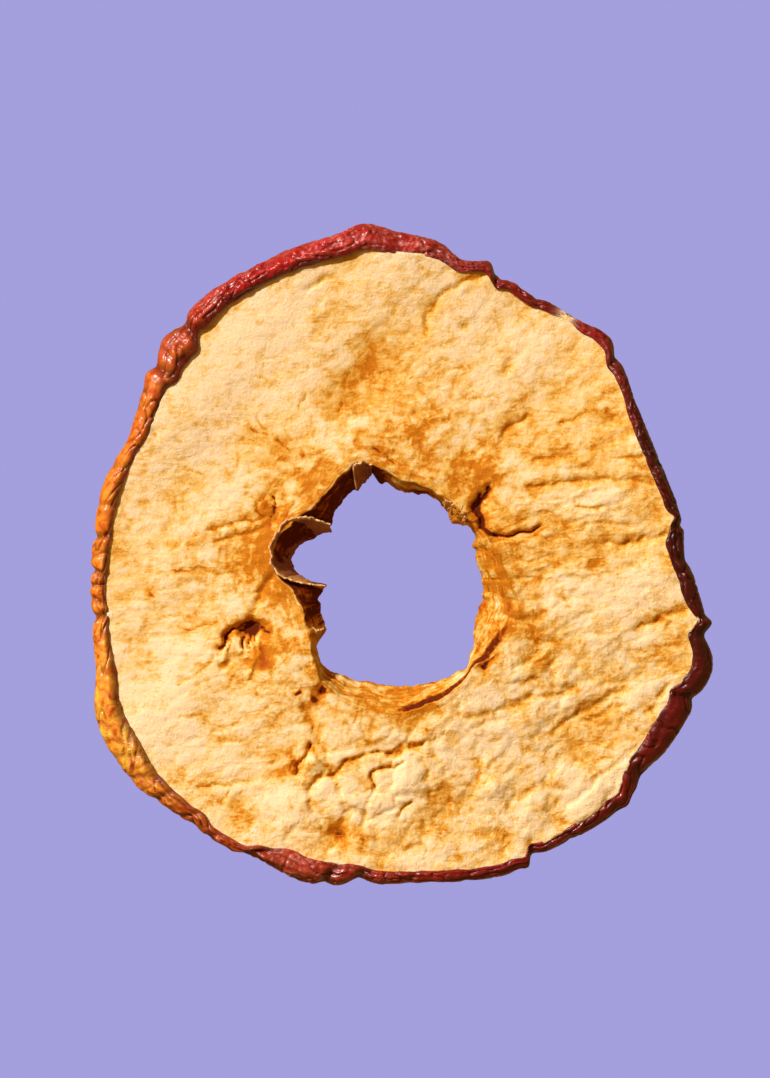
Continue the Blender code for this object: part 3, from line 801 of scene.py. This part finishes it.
def finished_piece(name, points, faces, material, masks):
    """Makes the mesh in metres from points measured from the hole's middle, with its masks, and has
    it stand for the solid ring."""
    mesh = bpy.data.meshes.new(name)
    mesh.from_pydata((points + (*HOLE_AT, 0)) * MM, [], faces)
    mesh.shade_smooth()
    for mask_name, values in masks.items():
        attribute = mesh.attributes.new(mask_name, "FLOAT", "POINT")
        attribute.data.foreach_set("value", np.asarray(values, np.float32).ravel())
    mesh.materials.append(material)
    piece = linked(name, mesh)
    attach(piece, "root")
    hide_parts("apple_chip")
    return piece


def hole_wall(turn, shares):
    """The bored wall from the lip down to the hole's edge, with fibres along it and upright ones at
    the left. It is dark in the lining's shade and under the overhanging edge."""
    lip = lip_radius(turn)
    hole = hole_radius(turn)
    top, _ = upper_height(lip, turn)
    low = underside(hole, turn) + HOLE_EDGE_HEIGHT
    rounded = near(turn, 0, 40)
    run = np.radians(turn) * BORE_RADIUS
    waver = 1.2 * cloud(run / 3, shares * 1.5, 1, 241, 2)
    along = cloud(run / 1.7, shares * 6.5 + waver, 1, 211)
    upright = cloud(run / 0.42, shares * 1.6, 1, 221)
    left = near(turn, 202, 16)
    fibres = along * (1 - left) + upright * left
    inset = np.sin(np.pi * shares)
    radius = lip + (hole - lip) * shares ** (0.95 - 0.25 * rounded) - 0.1 * fibres * inset
    height = top + (low - top) * shares ** (1.05 + 0.6 * rounded) + 0.08 * fibres * inset
    # Painted shade where the lining shades the wall, a painted shadow under the overhanging edge,
    # and darker grooves between the fibres.
    shaded = s_curve(92, 106, turn) * (1 - s_curve(188, 222, turn))
    shadow_under_lip = (3 * near(turn, 300, 24) * bell(shares - 0.14, 0.16)
                  + 0.8 * near(turn, 76, 14) * s_curve(0.45, 0.7, shares))
    threads = s_curve(0.15, 0.75, -fibres)
    dark = shaded * (1.15 + 0.3 * fibres) + 0.4 * threads + shadow_under_lip * (0.8 + 0.7 * fibres)
    browner = dents(turn, BROWNER_WALL)
    masks = flesh_masks(
        radius.shape, hollow=held(0.2 - 0.5 * fibres), dark=held(dark) * held(shares * 14),
        brown=np.clip(0.62 - 0.4 * fibres + browner, 0, 1.2), ripe=0.65, fibrous=1,
        down=shares * np.hypot(lip - hole, top - low), calm=calmness(turn))
    return radius, height, masks


def turns(count):
    """That many turns round the ring, down a grid's rows."""
    count = int(count * DETAIL)
    return (np.arange(count) * 360 / count)[:, None]


def columns(start, end, count):
    """That many even steps from start to end, along a grid's columns."""
    return np.linspace(start, end, int(count * DETAIL))[None, :]


def upper_flesh(material):
    """The upper face from under the peel to the lip, the bored wall, and a hidden return inside."""
    turn = turns(UPPER_GRID[0])
    lip = lip_radius(turn)
    edge = rim_radius(turn) - peel_width(turn)
    radius = edge + (lip - edge) * columns(-0.012, 1, UPPER_GRID[1])[:, :-1]
    down = columns(0, 1, WALL_STEPS)
    hole = hole_radius(turn)
    below = underside(hole, turn)
    middle = 0.5 * (hole + edge)
    plain = flesh_masks(turn.shape)
    inner = flesh_masks(turn.shape, brown=0.7)
    return closed_skin("upper_flesh", turn, material, (
        (edge + 0.7, warp(edge, turn) + 1.6, plain),
        (edge + 0.5, warp(edge, turn) + 2.4, plain),
        (radius, *upper_height(radius, turn + 0 * radius)),
        hole_wall(turn + 0 * down, down + 0 * turn),
        (hole + 0.3, below + 0.12, inner),
        (hole + 0.9, below + 0.5, inner),
        (middle, underside(middle, turn) + 1, inner),
    ))


def lower_flesh(material):
    """The underside from the hole's edge to the peel's lower edge, and a hidden return inside. Its
    lumps press inwards only, and least of all where it stands."""
    turn = turns(LOWER_GRID[0])
    hole = hole_radius(turn)
    start = hole + 0.12
    end = rim_radius(turn) - FOOT_INSET + 0.3
    radius = start + (end - start) * columns(0, 1, LOWER_GRID[1])
    spread = turn + 0 * radius
    x, y = flat_place(radius, spread)
    lumps, creases = crumple(-x, y, 180 - spread, 300)
    clear = held((radius - hole) / 1.2) * held((end - radius) / 1.5)
    inward = held(0.35 - lumps) + 0.5 * grain(x, y, spread, 331)
    smooth = underside(radius, spread)
    flat = 1 - 0.85 * bell(smooth, 0.12)
    tuck = 0.25 * held(1 - (radius - hole) / 0.55)
    height = smooth + 0.55 * inward * clear * flat + tuck
    near_hole = fading(radius - hole, 3)
    stain = s_curve(0.25, 0.9, cloud(x, y, 4.5, 381, 2))
    brown = np.maximum(near_hole * (0.8 + 0.35 * ring_streaks(radius, spread, 371)), 0.55 * stain)
    # Painted shade: its creases are darker and deeper in tone, and its low ground deeper in tone.
    masks = flesh_masks(radius.shape, hollow=creases, dark=0.35 * creases ** 3, brown=brown,
                        ripe=0.5 - lumps, fibrous=0.6 * near_hole, down=hole - radius)
    inside = flesh_masks(turn.shape)
    middle = 0.5 * (hole + end)
    return closed_skin("lower_flesh", turn, material, (
        (hole + 0.35, underside(hole, turn) + 0.8, inside),
        (radius, height, masks),
        (end + 0.2, underside(end, turn) + 0.7, inside),
        (middle, underside(middle, turn) + 1.3, inside),
    ))


# Shreds of the core's papery lining: shade at the start and end, bulge, then x, y and height of
# each point along the upper edge, and of as many along the lower edge.
SHREDS = (
    (.55, .95, .15, -6.3, 4.9, 3.9, -7.5, 5.3, 4.2, -8.6, 5.55, 4.4, -10.2, 5.3, 4.6, -6.2, 4.2,
     2.4, -7.1, 4.1, 1.9, -8.3, 3.6, 1.8, -9.3, 2.9, 1.8),
    (1.1, .7, .1, -10.2, 5.3, 4.6, -11.35, 3.9, 4.7, -11.7, 2.4, 4.75, -11.5, 1.1, 4.75, -10.5,
     .05, 4.7, -9.3, 2.9, 1.8, -9.75, 2.2, 1.8, -9.9, 1.5, 1.8, -9.6, .7, 1.9, -9.2, .25, 2),
    (.3, 0, 0, -10.5, .05, 4.7, -9.2, -.35, 4.5, -8, -.55, 4.2, -6.72, -.68, 3.8, -9.2, .25, 2,
     -8.3, -.25, 2.2, -7.6, -.75, 2.8, -6.95, -.95, 3.4),
    (.4, 1, .1, -4.25, 9.7, 4.4, -4.1, 10.3, 4.8, -3.3, 10.5, 4.9, -2.5, 10.3, 4.8, -3.95, 8, 3.6,
     -3.6, 8.3, 3, -3.1, 8.9, 2.6, -2.6, 9.4, 2.6),
    (0, .6, .1, -7.9, -4.4, 3.9, -7.4, -4.7, 3.9, -6.9, -4.5, 3.4, -7.75, -5.8, 3.5, -7.35, -5.5,
     3.1, -6.85, -4.9, 2.9),
    (0, 0, .05, 4.1, 7.1, 4.3, 4.7, 6.8, 4.4, 5.1, 6.4, 4.2, 4, 6.5, 3.4, 4.4, 6.2, 3.1, 4.9, 5.9,
     3.2),
    (0, .2, .05, 5.5, 6.5, 4.4, 5.7, 5.9, 4.3, 5.95, 5.4, 4, 5.2, 6.1, 3.6, 5.4, 5.6, 3.4, 5.8,
     5.1, 3.4),
)

# The peel's colours by turn, one value for every 15 degrees.
PEEL_COLOURS = {
    "amber": (0, 0, 0, 0, 0, 0, 0, 0, 0, .15, .65, 1, 1, .95, .8, .4, .2, .1, .05, 0, 0, 0, 0, 0),
    "golden": (0, 0, 0, 0, 0, 0, 0, 0, 0, .15, .3, .25, .3, .55, .95, .2, 0, 0, 0, 0, 0, 0, 0, 0),
    # Maroon, most on the right away from the light: partly the skin's own, partly painted shade.
    "dusk": (.95, 1, .9, .7, .55, .5, .2, 0, .05, .1, 0, 0, 0, 0, 0, .4, .5, .35, .55, .6, .6, .75,
             .8, .95),
}
# Creases that run right across the peel: turn, half width in degrees, depth.
PINCHES = (
    (57.5, 1, .25), (45.6, .8, .3), (72.4, .6, .6), (63.5, .7, .25), (90.5, .7, .15),
    (130.2, .9, .6), (138.8, .8, .45), (133.2, .5, .2), (136, .5, .2), (147.5, .9, .15),
    (158.5, .9, .3), (166, .7, .25), (172, .7, .6), (175.6, .5, .3), (178.8, .6, .55),
    (181.3, .5, .45), (184.2, .6, .4), (187.2, .8, .65), (206, 1.2, .15), (213, .8, .2),
    (217.5, .8, .25), (222.5, .8, .35), (228, .8, .3), (234, .9, .3), (241.8, 1.2, .45),
    (256.4, 1.1, .6), (262.6, 1.2, .5), (272, .9, .25), (283, .9, .2), (295.6, .8, .5),
    (303, .9, .2), (320.5, 1.2, .3), (337.4, .9, .4), (349.5, .9, .35), (352.6, .7, .45),
    (4, 1, .3), (10.8, .7, .5), (24, .8, .15),
)


def peel_skin(material):
    """The peel as a closed roll round the edge: an ellipse's arc from its inner edge on the upper
    face, over the crest and the outermost line, to its lower edge, pressed in by cross wrinkles and
    pinches, and closed by a hidden back inside the flesh."""
    turn = turns(PEEL_GRID[0])
    first, last = PEEL_ARC
    arc = columns(first, last, PEEL_GRID[1])
    rim = rim_radius(turn)
    low = underside(rim, turn)
    proud = around(PEEL_PROUD, turn)
    high = warp(rim, turn) + EDGE_HEIGHT + 1.25 * proud
    tuck = 104 + 32 * held(proud / 0.6)
    angle = np.where(arc > 0, arc * tuck / last, arc)
    turned = np.radians(angle)
    run = np.radians(turn) * MEAN_RIM
    inner_wave = 0.1 * cloud(run / 1.8, 0 * run, 1, 401, 2)
    upper_width = (peel_width(turn) + inner_wave) / (1 - np.cos(np.radians(tuck)))
    width = np.where(angle > 0, upper_width, PEEL_UNDER_WIDTH / 1.37)
    radius = rim - width * (1 - np.cos(turned))
    height = low + (high - low) * (1 + np.sin(turned)) / 2
    spread = turn + 0 * radius
    line = run + 0 * radius
    skew = 0.8 * perlin(line / 5, turned * 0.4, 411) + 0.5 * perlin(line / 1.6, turned * 1.4, 412)
    cross = np.abs(perlin(line / 1.25 + skew, turned * 0.8 + 0.4 * skew, 421)) - 0.3
    fine = np.abs(perlin(line / 0.6 + skew, turned * 1.6 - 0.5 * skew, 431)) - 0.3
    lengthwise = perlin(line / 3.2 + 0.3 * skew, turned * 2.3, 441)
    slanting = near(turn, 195, 62)
    level_folds = perlin(line / 4.2 + 0.8 * skew, turned * 1.2 + 0.4 * skew, 461)
    slant_folds = perlin(line / 2.3 + 1.1 * turned + 0.4 * skew, turned * 0.5, 471)
    folds = np.abs((1 - slanting) * level_folds + slanting * slant_folds)
    loose = 0.5 + 0.5 * cloud(line / 9, 0 * turned, 1, 451, 2)
    broad = 0.15 + 0.3 * near(turn, 248, 12) + 0.1 * near(turn, 215, 14)
    puckered = 0.12 + 0.14 * near(turn, 115, 26)
    press = (0.24 * cross * (0.3 + loose) + puckered * fine) * around(PEEL_WRINKLED, turn)
    press = press + broad * lengthwise - 0.28 * bell(folds, 0.06)
    # Painted shade in the folds, pinches and troughs of the cross wrinkles.
    crease = bell(folds, 0.05)
    for at, half_width, depth in PINCHES:
        lean = (2.6 * bell(at - 245, 26) + 0.9 * np.sin(at * 7)) * (0.45 - np.cos(turned))
        pinch = near(spread, at + lean, half_width)
        press = press - depth * pinch
        crease = np.maximum(crease, pinch * min(1, depth * 2))
    hold = held((low + 0.05 + 0 * radius) * 3 + (angle + 100) / 40)
    press = press * hold * np.clip((last - arc) / 26, 0.15, 1)
    radius = radius + press * (1 - 0.6 * bell(angle - 5, 38)) * np.cos(turned)
    height = np.maximum(height + press * np.sin(turned) * 0.8, 0)
    masks = {key: held(around(table, spread)) for key, table in PEEL_COLOURS.items()}
    masks |= {
        "crease": np.maximum(crease, np.clip(-cross * 1.6, 0, 0.6)),
        # Dust, with a painted sheen on the outer side of the roll at the upper left, towards the
        # light.
        "bloom": dents(spread, DUST_AND_SHEEN_PLACES) + 0.8 * near(spread, 112, 26) * s_curve(62, 20, angle),
        "bleached": near(spread, 57.6, 1.5),
        # Painted shade on the roll's inner slope, which faces away from the light at the left.
        "inner": s_curve(88, 112, angle) * held(np.cos(np.radians(spread - 158)) * 1.6),
    }
    inside = {key: values[:, :1] for key, values in masks.items()}
    back = rim - upper_width * 0.8 - 0.25
    return closed_skin("peel", turn, material, (
        (radius, height, masks),
        (back, low + (high - low) * 0.6, inside),
        (back, low + (high - low) * 0.35, inside),
    ))


def core_lining(material):
    """Thin sheets, each ruled from its upper line to its lower line, bulged towards the flesh, with
    a ragged upper edge, and given a thickness by Solidify."""
    along, down = (int(steps * DETAIL) for steps in SHEET_GRID)
    run, share = np.linspace(0, 1, along)[:, None], np.linspace(0, 1, down)[None, :]
    here = np.arange(along * down).reshape(along, down)
    quads = np.stack((here[:-1, :-1], here[:-1, 1:], here[1:, 1:], here[1:, :-1]), -1)
    points, faces, shades, torn = [], [], [], []
    for number, (shade_start, shade_end, bulge, *places) in enumerate(SHREDS):
        lines = np.reshape(places, (2, -1, 3))
        top, low = (smooth_line(line, along)[:, None] for line in lines)
        ragged = 0.16 * cloud(run * 5 + 3 * number, 0 * run, 1, 501 + number)
        start = share * (1 - ragged) + ragged * 0.9
        sheet = top + (low - top) * start[..., None]
        away = sheet[..., :2] / np.linalg.norm(sheet[..., :2], axis=-1, keepdims=True)
        ripple = 0.13 * cloud(run * 6 + 0 * share, share * 2 + 0 * run, 1, 541 + number)
        sheet[..., :2] += away * (bulge * np.sin(np.pi * share) + ripple)[..., None]
        shade = shade_start + (shade_end - shade_start) * run + 0.25 * share
        broken = 0.55 + 0.6 * cloud(run * 7 + number, 0 * run, 1, 581 + number, 2)
        edge = np.clip(broken, 0.1, 1) * s_curve(0.15, 0.02, share)
        points.append(sheet.reshape(-1, 3))
        faces.append(quads.reshape(-1, 4) + number * here.size)
        shades.append(held(shade * (1 - edge)).ravel())
        torn.append(edge.ravel())
    points, faces, shades, torn = map(np.concatenate, (points, faces, shades, torn))
    piece = finished_piece("core_lining", points, faces, material,
                           {"shade": shades, "torn": torn})
    thick = piece.modifiers.new("thickness", "SOLIDIFY")
    thick.thickness = SHEET_THICKNESS * MM
    thick.offset = 0
    return piece


LILAC = (0.37, 0.345, 0.72, 1)
WARM_WHITE = (1, 0.9, 0.83)
AMBER_FILL = (1, 0.54, 0.15, 1)
SUN_FROM = (-0.62, 0.62, 0.72)
CAMERA_AT = (-1.6, 1.5, 274.4)


def stage_and_light():
    """A plain lilac floor, a soft sun from the upper left and a weak even fill."""
    bpy.ops.mesh.primitive_plane_add(size=1.6, location=(0, 0, -0.00005))
    floor = bpy.context.object
    floor.name = "floor"
    backdrop = bpy.data.materials.new("backdrop")
    backdrop.use_nodes = True
    tree = backdrop.node_tree
    glow = tree.nodes.new("ShaderNodeEmission")
    glow.inputs["Color"].default_value = LILAC
    tree.links.new(glow.outputs[0], tree.nodes["Material Output"].inputs["Surface"])
    floor.data.materials.append(backdrop)
    floor.visible_diffuse = False
    floor.visible_glossy = False

    sun = bpy.data.lights.new("key", "SUN")
    sun.energy = 4.6
    sun.angle = np.radians(3)
    sun.color = WARM_WHITE
    linked("key", sun).rotation_euler = Vector(SUN_FROM).to_track_quat("Z", "Y").to_euler()

    world = bpy.data.worlds.new("fill")
    world.use_nodes = True
    sky = world.node_tree.nodes["Background"]
    sky.inputs["Color"].default_value = AMBER_FILL
    sky.inputs["Strength"].default_value = 0.29
    bpy.context.scene.world = world
    bpy.context.scene.view_settings.view_transform = "Standard"


def camera():
    """Straight down: 98 mm of the ring's plane from the frame's bottom to its top."""
    lens = bpy.data.cameras.new("camera")
    lens.lens = 100
    view = linked("camera", lens)
    view.location = [MM * step for step in CAMERA_AT]
    bpy.context.scene.camera = view


camera()
stage_and_light()
flesh = flesh_finish()
upper_flesh(flesh)
lower_flesh(flesh)
peel_skin(peel_finish())
core_lining(lining_finish())
